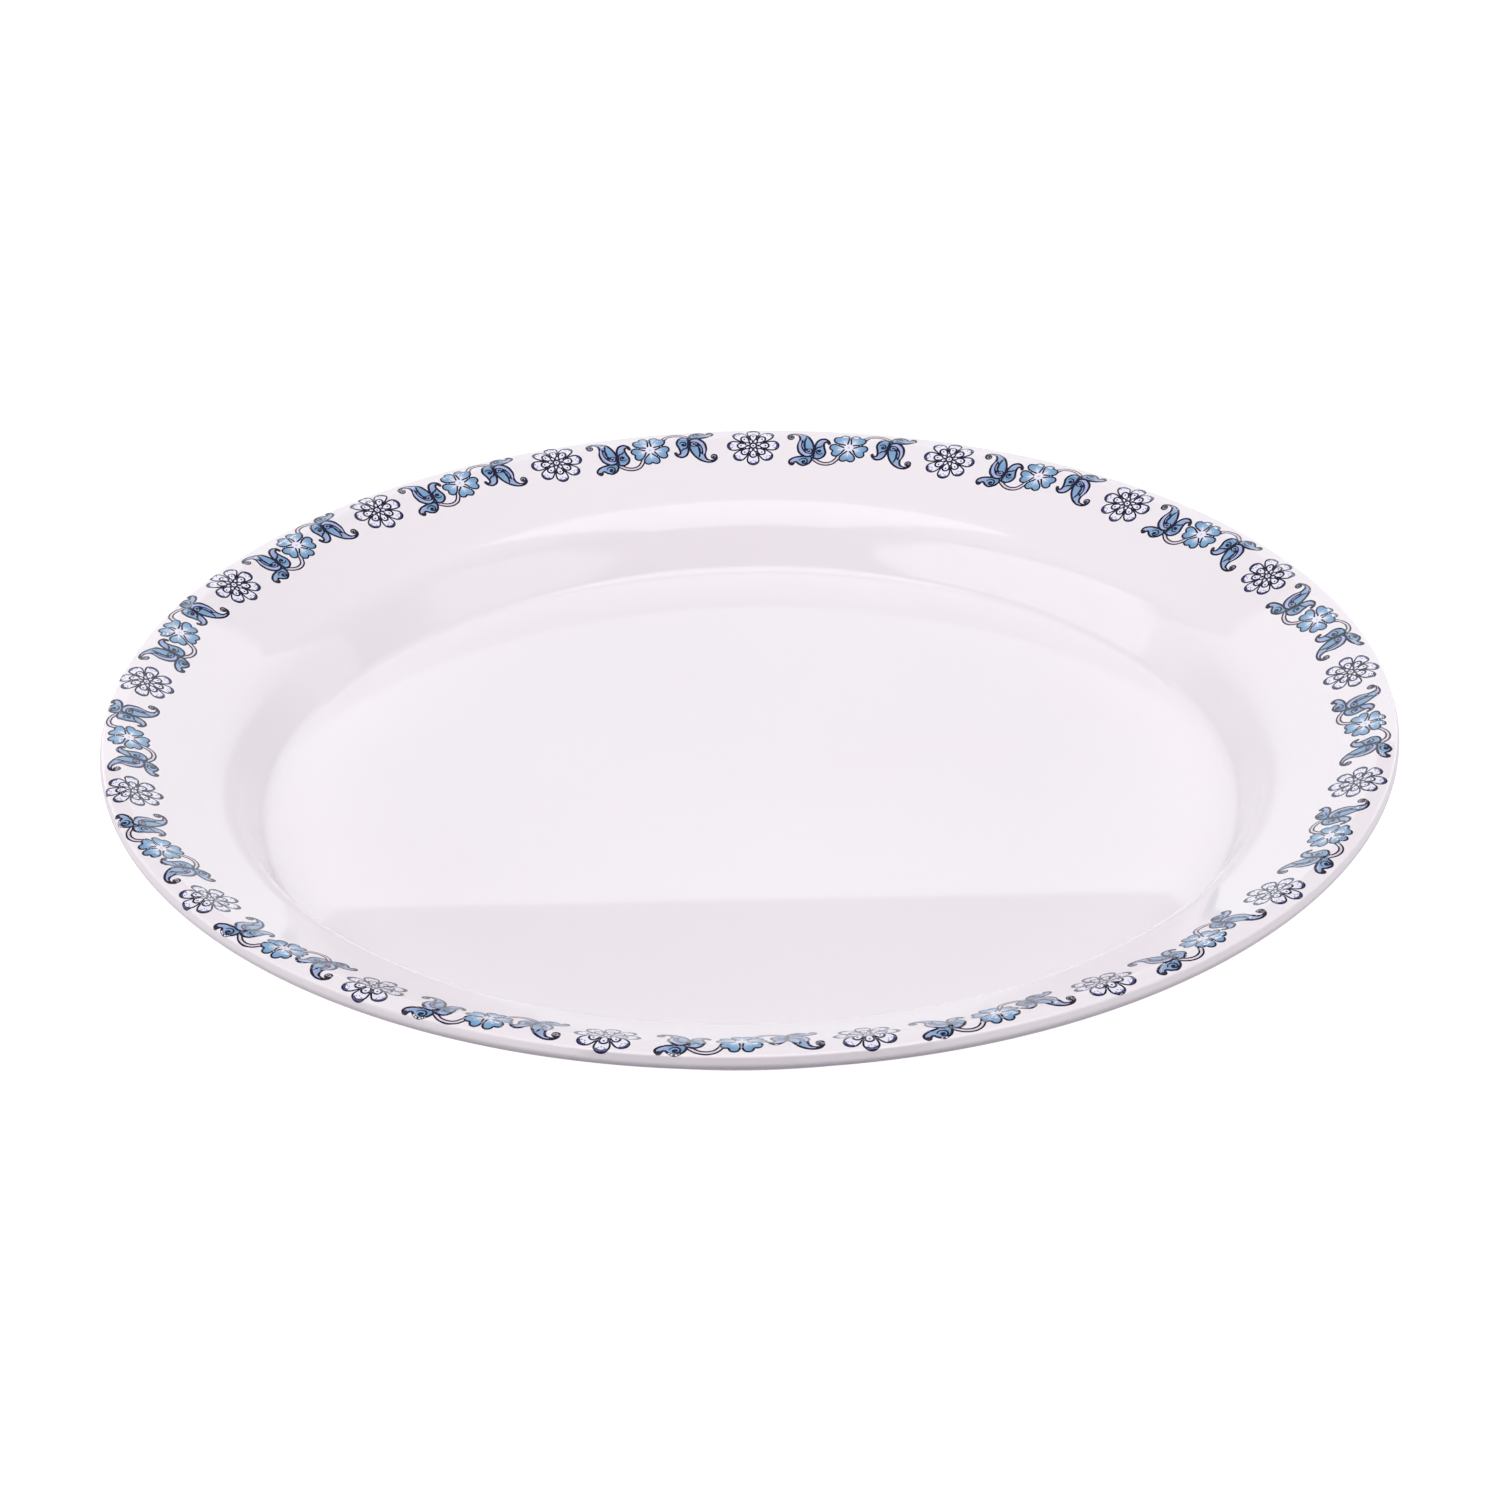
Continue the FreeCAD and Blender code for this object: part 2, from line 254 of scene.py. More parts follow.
def ink(name, stops, shaded=False):
    """A fired print, as glossy as the glaze. Its colour is mottled like a screened print.

    A shaded ink follows the drawing's shade across its stops, from 0 to 1.
    """
    n = Nodes(name)
    tone = n.noise(MOTTLE, 2.0)
    if shaded:
        motif = n.add("ShaderNodeAttribute", attribute_name="shade").outputs["Fac"]
        swing = {0: tone, 1: MOTTLE_SHARE, 2: -MOTTLE_SHARE / 2}
        uneven = n.add("ShaderNodeMath", swing, operation="MULTIPLY_ADD").outputs[0]
        tone = n.add("ShaderNodeMath", {0: motif, 1: uneven}, operation="ADD").outputs[0]
    colour = n.ramp(tone, stops)
    n.set(Base_Color=colour, Roughness=GLOSS, IOR=GLASS_IOR, Normal=n.ripple())
    return n.material


INKS = {
    "line": ink("navy_line", [(0.3, linear(24, 20, 46)), (0.7, linear(34, 30, 60))]),
    "curl": ink("brown_black_curl", [(0.3, linear(40, 30, 38)), (0.7, linear(58, 46, 54))]),
    "pale": ink("petal_white", [(0.3, linear(232, 232, 246)), (0.7, linear(240, 240, 250))]),
    "indigo": ink("indigo_tip", [(0.3, linear(52, 54, 98)), (0.7, linear(76, 80, 128))]),
    "leaf": ink("leaf_blue", [
        (0.0, linear(112, 156, 192)), (0.5, linear(136, 170, 206)), (1.0, linear(168, 182, 216)),
    ], shaded=True),
    "petal": ink("blossom_blue", [
        (0.0, linear(236, 240, 250)), (0.35, linear(186, 208, 230)),
        (0.6, linear(136, 176, 210)), (1.0, linear(116, 158, 196)),
    ], shaded=True),
    "sheen": ink("leaf_lilac", [(0.3, linear(168, 178, 220)), (0.7, linear(186, 190, 226))]),
    "stem": ink("stem_grey", [(0.3, linear(214, 204, 216)), (0.7, linear(230, 222, 230))]),
}
INK_ORDER = list(INKS)
EDGE_INK = INK_ORDER.index("line")

# ---- drawing the border flat, in millimetres --------------------------------------------
# x runs along the border clockwise and y outwards from the print ring.

LINE = 0.6            # usual width of a drawn line
CURVE_STEPS = 7       # points per stretch of a smooth curve
FINE_CURVE = 24       # a curve of this many points is smooth already


def polar(distance, degrees, centre=(0.0, 0.0)):
    angle = math.radians(degrees)
    return Vector((centre[0] + distance * math.cos(angle), centre[1] + distance * math.sin(angle)))


def smooth(points, closed=False):
    """A smooth curve through the points."""
    points = [Vector(point) for point in points]
    count = len(points)
    curve = []
    for index in range(count if closed else count - 1):
        around = [index - 1, index, index + 1, index + 2]
        if closed:
            a, b, c, d = (points[i % count] for i in around)
        else:
            a, b, c, d = (points[min(max(i, 0), count - 1)] for i in around)
        for step in range(CURVE_STEPS):
            t = step / CURVE_STEPS
            curve.append(
                0.5 * ((2 * b) + (c - a) * t + (2 * a - 5 * b + 4 * c - d) * t**2
                       + (3 * b - a - 3 * c + d) * t**3)
            )
    if not closed:
        curve.append(points[-1])
    return curve


def area(outline):
    total = 0.0
    for a, b in zip(outline, outline[1:] + outline[:1]):
        total += a.x * b.y - b.x * a.y
    return total / 2


def anticlockwise(outline):
    return outline if area(outline) > 0 else outline[::-1]


def sideways(curve, index, closed):
    """The unit direction to the left of a curve at one of its points."""
    count = len(curve)
    before = curve[(index - 1) % count] if closed else curve[max(index - 1, 0)]
    after = curve[(index + 1) % count] if closed else curve[min(index + 1, count - 1)]
    run = (after - before).normalized()
    return Vector((-run.y, run.x))


def shrunk(outline, inset):
    """A closed outline drawn inset inside itself."""
    outline = anticlockwise(outline)
    return [p + sideways(outline, i, True) * inset for i, p in enumerate(outline)]


def stroke(points, width=LINE, taper=0.5):
    """The outline of a drawn line, thinned to the taper's share of its width at its ends."""
    curve = smooth(points) if len(points) < FINE_CURVE else points
    left, right = [], []
    last = len(curve) - 1
    for index, point in enumerate(curve):
        middle = 1 - abs(2 * index / last - 1)
        half = width / 2 * (taper + (1 - taper) * min(1.0, 2.2 * middle))
        side = sideways(curve, index, False) * half
        left.append(point + side)
        right.append(point - side)
    return anticlockwise(left + right[::-1])


def disc(centre, radius, points=14):
    return [polar(radius, 360 * i / points, centre) for i in range(points)]


def spiral(centre, inner, outer, start, turns, points=26):
    """A curl from its middle outwards. Positive turns run anticlockwise."""
    curve = []
    for index in range(points):
        share = index / (points - 1)
        curve.append(polar(inner + (outer - inner) * share, start + 360 * turns * share, centre))
    return curve


class Drawing:
    """Flat shapes in painting order: each covers the ones before it."""

    def __init__(self):
        self.shapes = []

    def add(self, outline, ink_name, owner, shade=None):
        self.shapes.append((anticlockwise(outline), ink_name, owner, shade))

    def outlined(self, outline, ink_name, owner, shade=None, width=LINE):
        self.add(outline, "line", owner)
        self.add(shrunk(outline, width), ink_name, owner, shade)

    def turned(self, angle, centre):
        """A copy of the drawing, turned about a point."""
        turn = Matrix.Rotation(math.radians(angle), 2)
        middle = Vector(centre)
        copy = Drawing()
        for outline, ink_name, owner, shade in self.shapes:
            moved = [middle + turn @ (point - middle) for point in outline]
            back = Matrix.Rotation(math.radians(-angle), 2)
            new_shade = shade and (lambda p, s=shade: s(middle + back @ (p - middle)))
            copy.shapes.append((moved, ink_name, owner, new_shade))
        return copy


# ---- rosette ---------------------------------------------------------------------------

PETALS = 8


def long_petal(root, shoulder, half, angle):
    """A petal with a round end: narrow at the root, half its width at the shoulder."""
    side = []
    for index in range(9):
        share = index / 8
        width = half * (0.18 + 0.82 * math.sin(share * math.pi / 2) ** 0.9)
        side.append(Vector((root + (shoulder - root) * share, width)))
    cap = [Vector((shoulder + half * math.cos(a), half * math.sin(a)))
           for a in (math.radians(d) for d in range(78, -90, -12))]
    flat = side + cap + [Vector((p.x, -p.y)) for p in reversed(side)]
    turn = Matrix.Rotation(math.radians(angle), 2)
    return anticlockwise([turn @ p for p in flat])


def rosette_drawing():
    drawing = Drawing()
    owner = "rosette"
    for petal in range(PETALS):
        angle = 360 * petal / PETALS
        drawing.add(long_petal(1.4, 5.3, 1.8, angle), "line", owner)
        drawing.add(long_petal(1.9, 5.25, 1.36, angle), "pale", owner)
        tip = [polar(6.65, angle + a) for a in (-8, -4, 0, 4, 8)]
        hollow = [polar(5.85, angle + 11), polar(6.1, angle + 5), polar(6.2, angle),
                  polar(6.1, angle - 5), polar(5.85, angle - 11)]
        drawing.add(smooth(tip + hollow, True), "indigo", owner)
        for offset, distance in ((0, 5.35), (-6, 5.72), (6, 5.72)):
            drawing.add(disc(polar(distance, angle + offset), 0.16, 8), "indigo", owner)
    for petal in range(PETALS):
        angle = 360 * petal / PETALS
        drawing.add(long_petal(1.2, 3.35, 1.12, angle), "line", owner)
        drawing.add(long_petal(1.6, 3.3, 0.66, angle), "pale", owner)
        drawing.add(disc(polar(3.3, angle), 0.26, 8), "line", owner)
    for petal in range(PETALS):
        angle = 360 * (petal + 0.5) / PETALS
        drawing.add(long_petal(0.8, 1.8, 0.66, angle), "line", owner)
        drawing.add(long_petal(1.1, 1.78, 0.28, angle), "pale", owner)
    drawing.add(disc((0, 0), 1.1, 20), "line", owner)
    drawing.add(disc((0, 0), 0.62, 16), "pale", owner)
    drawing.add(disc((0, 0), 0.26, 10), "line", owner)
    return drawing


# ---- spray -----------------------------------------------------------------------------

BLOSSOM = (-1.0, 0.2)            # the blossom's middle
BLOSSOM_PETALS = 5
BLOSSOM_RAYS = 10                # pale rays and dots round its middle
SPRAY_CENTRE = (-0.35, -0.25)    # the point about which half the spray is turned


def leaf_shade(base, tip):
    """Shade of a leaf: blue at its base, lilac towards its tip."""
    start, along = Vector(base), Vector(tip) - Vector(base)
    return lambda p: min(1.0, max(0.0, (p - start).dot(along) / along.length_squared))


def even_tone(tone):
    """The same shade all over."""
    return lambda p: tone


def half_spray():
    """The leading leaves, bud and stem. The trailing half is the same, turned about."""
    d = Drawing()
    stem = [(-10.6, -4.0), (-9.6, -4.9), (-8.3, -5.75), (-6.5, -6.05), (-4.9, -5.5), (-3.9, -4.3),
            (-3.2, -2.9), (-2.5, -1.7)]
    d.add(stroke(stem, 1.34, 0.95), "line", "stem")
    d.add(stroke(stem, 0.5, 0.95), "stem", "stem")

    bud = smooth([(-10.3, -4.4), (-11.0, -6.2), (-12.7, -7.2), (-14.2, -6.7), (-15.0, -6.0),
                  (-15.5, -6.9), (-16.4, -7.0), (-17.1, -6.0), (-16.8, -4.8), (-15.3, -3.8),
                  (-12.9, -3.3), (-11.1, -3.3)], True)
    d.outlined(bud, "leaf", "bud", leaf_shade((-11.0, -4.0), (-17.0, -6.0)))
    d.add(stroke(spiral((-12.7, -5.5), 0.25, 1.35, 80, 1.25), 0.46, 0.55), "line", "bud")
    d.add(disc((-12.7, -5.45), 0.48), "line", "bud")
    d.add(stroke([(-14.4, -4.3), (-15.3, -4.6), (-15.9, -5.3)], 0.3, 0.3), "sheen", "bud")
    d.add(disc((-16.1, -6.3), 0.5), "curl", "bud")

    short = smooth([(-10.5, -4.1), (-10.4, -1.8), (-10.3, 0.7), (-9.4, 2.5), (-7.8, 3.1),
                    (-6.4, 2.3), (-6.0, 1.1), (-6.6, 0.8), (-7.1, 1.5), (-7.5, 1.0),
                    (-7.3, -0.3), (-6.8, -2.2), (-7.5, -3.9), (-9.2, -4.7)], True)
    d.outlined(short, "leaf", "short_leaf", leaf_shade((-9.0, -3.5), (-7.5, 2.8)))
    fold = [(-10.0, -1.5), (-9.5, -0.4), (-8.8, -0.2), (-8.1, 0.5)]
    d.add(stroke(fold, 0.5, 0.6), "line", "short_leaf")
    d.add(stroke(spiral((-8.8, -1.75), 0.2, 1.05, -60, 1.1), 0.44, 0.55), "line", "short_leaf")
    d.add(disc((-8.8, -1.75), 0.4), "line", "short_leaf")
    d.add(stroke([(-9.5, 0.7), (-9.0, 1.7), (-8.1, 2.2)], 0.3, 0.3), "sheen", "short_leaf")
    d.add(stroke([(-9.6, -3.4), (-8.9, -3.9), (-8.2, -3.5)], 0.28, 0.3), "sheen", "short_leaf")
    d.add(disc((-6.45, 1.3), 0.5), "curl", "short_leaf")

    long_leaf = smooth([(-10.4, -3.2), (-12.4, -4.0), (-14.5, -2.5), (-15.1, 0.0), (-14.6, 2.4),
                        (-15.2, 3.9), (-16.6, 4.1), (-17.6, 3.0), (-17.7, 4.0), (-16.6, 5.1),
                        (-14.6, 5.2), (-12.5, 4.1), (-10.9, 2.0), (-10.1, -0.6)], True)
    d.outlined(long_leaf, "leaf", "long_leaf", leaf_shade((-11.5, -2.5), (-15.5, 5.0)))
    band = smooth([(-14.3, 1.8), (-14.55, 0.0), (-13.9, -1.9), (-12.5, -3.3), (-10.9, -3.0),
                   (-11.7, -2.6), (-12.9, -1.9), (-13.7, -0.3), (-13.9, 1.6)], True)
    d.add(band, "sheen", "long_leaf")
    pocket = smooth([(-13.85, 2.2), (-13.9, -0.2), (-13.1, -1.9), (-11.9, -2.7), (-10.6, -2.5),
                     (-10.4, -1.4), (-11.2, -0.8), (-12.3, -0.8), (-12.9, 0.2), (-13.2, 1.6)], True)
    d.add(pocket, "line", "long_leaf")
    d.add(stroke([(-12.6, 3.3), (-13.0, 1.6), (-12.75, -0.5)], 0.5, 0.35), "line", "long_leaf")
    d.add(stroke([(-13.4, 1.3), (-13.45, 0.1), (-13.0, -1.0)], 0.28, 0.3), "leaf", "long_leaf",
          even_tone(0.3))
    d.add(stroke(spiral((-11.6, -1.6), 0.2, 0.8, 200, -1.05), 0.3, 0.7), "leaf", "long_leaf",
          even_tone(0.6))
    d.add(stroke([(-13.6, 3.9), (-14.6, 4.5), (-15.8, 4.6)], 0.3, 0.3), "sheen", "long_leaf")
    d.add(disc((-16.8, 3.1), 0.98, 18), "curl", "long_leaf")
    d.add(stroke(spiral((-16.8, 3.1), 0.15, 0.62, 90, 0.8), 0.18, 0.6), "leaf", "long_leaf",
          even_tone(0.9))
    return d


def heart_petal(angle):
    """One heart-shaped petal of the blossom, from its centre outwards."""
    half = [(0.7, 0.14), (1.5, 0.85), (2.7, 1.95), (3.9, 2.35), (4.8, 2.0), (5.2, 1.15),
            (5.0, 0.4), (4.7, 0.0)]
    flat = [Vector(p) for p in half] + [Vector((x, -y)) for x, y in reversed(half[:-1])]
    turn = Matrix.Rotation(math.radians(angle), 2)
    centre = Vector(BLOSSOM)
    return smooth([centre + turn @ p for p in flat], True)


def blossom_shade(point):
    """White at the blossom's heart, blue at its edge."""
    return min(1.0, max(0.0, ((point - Vector(BLOSSOM)).length - 1.0) / 3.8))


def blossom_drawing():
    d = Drawing()
    for petal in range(BLOSSOM_PETALS):
        outline = heart_petal(270 + 360 * petal / BLOSSOM_PETALS)
        d.outlined(outline, "petal", "blossom", blossom_shade, 0.46)
    d.add(disc(BLOSSOM, 1.25, 20), "pale", "blossom")
    for ray in range(BLOSSOM_RAYS):
        angle = 360 * (ray + 0.5) / BLOSSOM_RAYS
        tip = polar(2.9 if ray % 2 else 2.2, angle, BLOSSOM)
        root = polar(1.0, angle, BLOSSOM)
        d.add(stroke([root, (root + tip) / 2, tip], 0.26, 0.3), "pale", "blossom")
        d.add(disc(polar(3.25, angle, BLOSSOM), 0.14, 7), "pale", "blossom")
    d.add(disc(BLOSSOM, 0.3, 8), "petal", "blossom", even_tone(0.4))
    return d


def spray_drawing():
    leading = half_spray()
    whole = Drawing()
    for part in (leading, leading.turned(180, SPRAY_CENTRE), blossom_drawing()):
        whole.shapes += part.shapes
    return whole


# ---- from a flat drawing to enamel on the glaze -------------------------------------------

GRID = 0.9            # spacing of the points that let a filled shape follow the surface
WELD = 1e-5           # points nearer than this become one


def covers(outline, point):
    """Whether an anticlockwise outline goes round the point, even where it crosses itself."""
    winding = 0
    a = outline[-1]
    for b in outline:
        if (a.y <= point.y) != (b.y <= point.y):
            side = (b.x - a.x) * (point.y - a.y) - (point.x - a.x) * (b.y - a.y)
            if a.y <= point.y and side > 0:
                winding += 1
            elif b.y <= point.y and side < 0:
                winding -= 1
        a = b
    return winding > 0


def cut_up(drawing):
    """Cuts the drawing into triangles, each belonging to the topmost shape over it."""
    points, edges, boxes = [], [], []
    for outline, _, _, _ in drawing.shapes:
        first, count = len(points), len(outline)
        points += outline
        edges += [(first + i, first + (i + 1) % count) for i in range(count)]
        across, up = [p.x for p in outline], [p.y for p in outline]
        boxes.append((min(across), max(across), min(up), max(up)))
    left, right = min(box[0] for box in boxes), max(box[1] for box in boxes)
    bottom, top = min(box[2] for box in boxes), max(box[3] for box in boxes)
    for row in range(int((top - bottom) / GRID) + 1):
        for column in range(int((right - left) / GRID) + 1):
            shift = 0.5 * (row % 2)
            points.append(Vector((left, bottom)) + GRID * Vector((column + shift, row)))
    verts, _, triangles, _, _, _ = delaunay_2d_cdt(points, edges, [], 0, WELD)
    pieces = {}
    for triangle in triangles:
        middle = sum((verts[v] for v in triangle), Vector((0, 0))) / 3
        for index in reversed(range(len(boxes))):
            low_x, high_x, low_y, high_y = boxes[index]
            if not (low_x < middle.x < high_x and low_y < middle.y < high_y):
                continue
            outline, ink_name, owner, shade = drawing.shapes[index]
            if covers(outline, middle):
                pieces.setdefault(owner, []).append((triangle, ink_name, shade))
                break
    return verts, pieces


REPEATS = 17
PRINT_RING = 145.0        # radius of the ring on which the border is centred
PRINT_TURN = 88.7         # direction of the first rosette, degrees from +X
PRINT_SHIFT = Vector((-0.6, -0.6))  # the border sits a little off the plate's own centre
ENAMEL_TOP = 0.03         # above the glaze
ENAMEL_BOTTOM = -0.05     # sunk into it
FLANGE_SLOPE_COS = 0.94   # about the cosine of the flange's slope
PLAIN_SHADE = 0.5         # shade of the points no shaded ink touches

FACE_PATH = [p for p in section_path(0.0, math.radians(1.5), 1.0) if p[0] > HEEL[0]]


def face_lengths():
    """Distance along the face from the print ring, for each point of the section."""
    lengths = [0.0]
    for a, b in zip(FACE_PATH, FACE_PATH[1:]):
        lengths.append(lengths[-1] + math.hypot(b[0] - a[0], b[1] - a[1]))
    for index, (a, b) in enumerate(zip(FACE_PATH, FACE_PATH[1:])):
        if a[0] <= PRINT_RING < b[0] and a[1] < b[1]:
            share = (PRINT_RING - a[0]) / (b[0] - a[0])
            ring = lengths[index] + share * (lengths[index + 1] - lengths[index])
            return [length - ring for length in lengths]
    raise SystemExit("the print ring isn't on the flange")


LENGTHS = face_lengths()


def on_glaze(direction, point, lift):
    """Where a point of the flat border lands on the plate."""
    angle = direction - point.x / PRINT_RING
    outward = Vector((math.cos(angle), math.sin(angle)))
    along = point.y + PRINT_SHIFT.dot(outward) / FLANGE_SLOPE_COS
    angle += (outward.x * PRINT_SHIFT.y - outward.y * PRINT_SHIFT.x) / PRINT_RING
    low, high = 0, len(LENGTHS) - 1
    while high - low > 1:
        middle = (low + high) // 2
        if LENGTHS[middle] <= along:
            low = middle
        else:
            high = middle
    share = (along - LENGTHS[low]) / (LENGTHS[high] - LENGTHS[low])
    reach, level, heading = (a + (b - a) * share for a, b in zip(FACE_PATH[low], FACE_PATH[high]))
    reach -= lift * math.sin(heading)
    level += lift * math.cos(heading)
    return reach * math.cos(angle) * MM, reach * math.sin(angle) * MM, level * MM


def printed_mesh(name, flat_points, triangles, first):
    """Every repeat of one printed part, as thin closed shapes on the glaze."""
    used = sorted({v for triangle, _, _ in triangles for v in triangle})
    place = {v: i for i, v in enumerate(used)}
    count = len(used)
    shade_of = {}
    for triangle, _, shade in triangles:
        for v in triangle:
            if shade:
                shade_of[v] = shade(flat_points[v])
    edges = []
    for triangle, _, _ in triangles:
        edges += zip(triangle, triangle[1:] + triangle[:1])
    known = set(edges)
    border = [(a, b) for a, b in edges if (b, a) not in known]
    verts, faces, inks = [], [], []
    for repeat in range(REPEATS):
        direction = math.radians(first) - TAU * repeat / REPEATS
        base = len(verts)
        verts += [on_glaze(direction, flat_points[v], ENAMEL_TOP) for v in used]
        verts += [on_glaze(direction, flat_points[v], ENAMEL_BOTTOM) for v in used]
        for triangle, ink_name, _ in triangles:
            a, b, c = (base + place[v] for v in triangle)
            number = INK_ORDER.index(ink_name)
            faces += [(a, b, c), (a + count, c + count, b + count)]
            inks += [number, number]
        for a, b in border:
            a, b = base + place[a], base + place[b]
            faces.append((a, a + count, b + count, b))
            inks.append(EDGE_INK)
    mesh = bpy.data.meshes.new(name)
    mesh.from_pydata(verts, [], faces)
    for material in INKS.values():
        mesh.materials.append(material)
    mesh.polygons.foreach_set("material_index", inks)
    shades = [shade_of.get(v, PLAIN_SHADE) for v in used] * 2 * REPEATS
    mesh.attributes.new("shade", "FLOAT", "POINT").data.foreach_set("value", shades)
    mesh.update()
    return mesh


# ---- building the platter ----------------------------------------------------------------

outside = section_path(0.0, BEND_STEP, RUN_STEP)
inside = section_path(GLAZE, HIDDEN_STEP, HIDDEN_RUN)
shell = [(p[0], p[1]) for p in outside] + [(p[0], p[1]) for p in reversed(inside)]
glaze_look = glaze_material()
glaze_mesh = turned_mesh("china_glaze", shell)
glaze_mesh.materials.append(glaze_look)
add_piece("china_glaze", glaze_mesh, "glaze_coat")

for node, look in (("foot_recess_glaze", glaze_look), ("porcelain_body", bisque_material())):
    for material_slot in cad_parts[node].material_slots:
        material_slot.material = look

SPRAY_TURN = PRINT_TURN - 180 / REPEATS
PRINTED = {
    "rosette": ("border_rosettes", "rosette_prints", "indigo_print"),
    "blossom": ("border_blossoms", "blossom_prints", "blue_print"),
    "long_leaf": ("border_long_leaves", "long_leaf_prints", "blue_print"),
    "short_leaf": ("border_short_leaves", "short_leaf_prints", "blue_print"),
    "bud": ("border_buds", "bud_prints", "blue_print"),
    "stem": ("border_stems", "stem_prints", "stem_print"),
}
for drawing, first in ((rosette_drawing(), PRINT_TURN), (spray_drawing(), SPRAY_TURN)):
    flat_points, parts = cut_up(drawing)
    for owner, triangles in parts.items():
        piece_name, node, slot = PRINTED[owner]
        mesh = printed_mesh(piece_name, flat_points, triangles, first)
        add_piece(piece_name, mesh, node)

# ---- floor, light and camera, in metres ---------------------------------------------------

FLOOR_SIZE = 6.0
FLOOR_TONE = (0.2, 0.2, 0.2, 1.0)         # what the camera sees, besides the glow
FLOOR_GLOW = 1.0                          # keeps it white right up to the platter
FLOOR_BOUNCE = (0.27, 0.25, 0.28, 1.0)    # what the platter is lit by
FLOOR_MIRRORED = (0.78, 0.74, 0.84, 1.0)  # what its glaze mirrors


def build_floor():
    """A plain floor: white to the camera, pale lilac-grey to the glaze that mirrors it.

    Neither glow lights the ware, which only gets a dark floor's bounced light.
    """
    mesh = bpy.data.meshes.new("floor")
    half = FLOOR_SIZE / 2
    corners = [(-half, -half, 0), (half, -half, 0), (half, half, 0), (-half, half, 0)]
    mesh.from_pydata(corners, [], [(0, 1, 2, 3)])
    floor = bpy.data.objects.new("floor", mesh)
    bpy.context.scene.collection.objects.link(floor)
    n = Nodes("floor_white")
    n.set(Base_Color=FLOOR_TONE, Roughness=0.9, Specular_IOR_Level=0.0)
    n.set(Emission_Color=(1, 1, 1, 1), Emission_Strength=FLOOR_GLOW)
    bounce = n.add("ShaderNodeBsdfDiffuse", {"Color": FLOOR_BOUNCE})
    glow = n.add("ShaderNodeEmission", {"Color": FLOOR_MIRRORED})
    ray = n.add("ShaderNodeLightPath").outputs

    def choose(ray_kind, otherwise, chosen):
        mix = n.add("ShaderNodeMixShader", {0: ray[ray_kind], 1: otherwise, 2: chosen})
        return mix.outputs[0]

    unseen = choose("Is Glossy Ray", bounce.outputs[0], glow.outputs[0])
    surface = choose("Is Camera Ray", unseen, n.shader.outputs[0])
    n.feed(n.tree.nodes["Material Output"].inputs["Surface"], surface)
    mesh.materials.append(n.material)


CEILING = (0.26, 0.25, 0.28)      # overhead, behind and beside the platter
CAMERA_SIDE = (0.2, 0.16, 0.19)   # the darker room on the camera's side
CAMERA_SIDE_TOP = 33      # degrees above the horizon
LEFT_WINDOW = (2.2, 2.3, 2.4)
LEFT_WINDOW_BACK = 0.3    # backward part of the direction to its farther edge
RIGHT_WINDOW = (1.3, 1.4, 1.5)
RIGHT_WINDOW_BACK = -0.1
WINDOW_EDGE = 0.46        # sideways part of the direction to a window's nearer edge
WINDOW_TOP = 28           # degrees above the horizon


def build_world():
    """A dim room with a window on each side of the camera, only seen mirrored in the glaze."""
    world = bpy.data.worlds.new("studio")
    bpy.context.scene.world = world
    world.use_nodes = True
    tree = world.node_tree
    link = tree.links.new
    coordinate = tree.nodes.new("ShaderNodeTexCoord")
    split = tree.nodes.new("ShaderNodeSeparateXYZ")
    link(coordinate.outputs["Generated"], split.inputs[0])

    def soft_step(axis, start, end):
        node = tree.nodes.new("ShaderNodeMapRange")
        node.interpolation_type = "SMOOTHSTEP"
        link(split.outputs[axis], node.inputs["Value"])
        node.inputs["From Min"].default_value = start
        node.inputs["From Max"].default_value = end
        return node.outputs["Result"]

    def overlap(first, second):
        node = tree.nodes.new("ShaderNodeMath")
        node.operation = "MULTIPLY"
        link(first, node.inputs[0])
        link(second, node.inputs[1])
        return node.outputs[0]

    def blend(share, first, second):
        node = tree.nodes.new("ShaderNodeMix")
        node.data_type = "RGBA"
        link(share, node.inputs[0])
        for socket, value in ((node.inputs[6], first), (node.inputs[7], second)):
            if isinstance(value, bpy.types.NodeSocket):
                link(value, socket)
            else:
                socket.default_value = (*value, 1.0)
        return node.outputs[2]

    side_top = math.sin(math.radians(CAMERA_SIDE_TOP))
    window_top = math.sin(math.radians(WINDOW_TOP))
    front = overlap(soft_step("Y", -0.1, -0.3), soft_step("Z", side_top + 0.02, side_top - 0.02))
    low = soft_step("Z", window_top + 0.01, window_top - 0.01)
    sky = blend(front, CEILING, CAMERA_SIDE)
    mirrored = tree.nodes.new("ShaderNodeLightPath").outputs["Is Glossy Ray"]
    windows = ((-1, LEFT_WINDOW, LEFT_WINDOW_BACK), (1, RIGHT_WINDOW, RIGHT_WINDOW_BACK))
    for side, window, back in windows:
        beside = soft_step("X", side * (WINDOW_EDGE - 0.02), side * (WINDOW_EDGE + 0.02))
        ahead = soft_step("Y", back, back - 0.15)
        inside = overlap(low, overlap(ahead, beside))
        sky = blend(overlap(mirrored, inside), sky, window)
    link(sky, tree.nodes["Background"].inputs["Color"])


